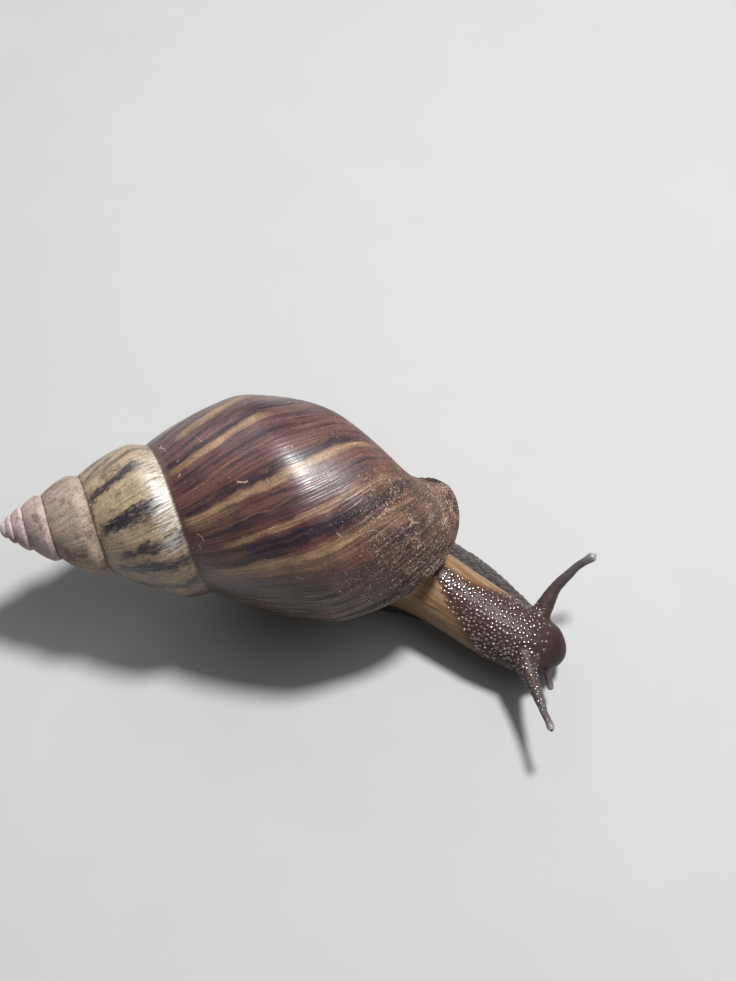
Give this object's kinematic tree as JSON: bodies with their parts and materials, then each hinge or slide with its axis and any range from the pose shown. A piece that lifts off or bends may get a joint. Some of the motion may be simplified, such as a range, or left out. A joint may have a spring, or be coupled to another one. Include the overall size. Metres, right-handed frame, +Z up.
{
  "type": "giant african land snail",
  "caption": "Crawling giant African land snail with a right-handed, streaked brown shell, stretched neck and raised tentacles, resting on the flat sole of its foot.",
  "frame": {"origin": "on the flat sole of the foot, under the middle of the shell, at floor level", "axes": "+X towards the head along the crawl, +Z up from the floor, +Y to the snail's left"},
  "size_m": [0.1058, 0.0569, 0.0456],
  "materials": {
    "shell": "glossy chestnut and purple-brown shell with golden tan streaks, fine growth lines and a worn, paler spire",
    "flesh": "wet, wrinkled skin, tan on the flanks and dark brown to grey-purple on the back, head and tentacles",
    "eye": "glossy black eye spot at the tip of the upper tentacle"
  },
  "bodies": {
    "root": {"shell": "shell", "mantle": "flesh", "trunk": "flesh", "neck": "flesh", "head": "flesh", "foot": "flesh", "tail": "flesh", "tentacle_upper_left": "flesh", "tentacle_upper_right": "flesh", "tentacle_lower_left": "flesh", "tentacle_lower_right": "flesh", "eye_left": "eye", "eye_right": "eye"}
  },
  "joints": []
}
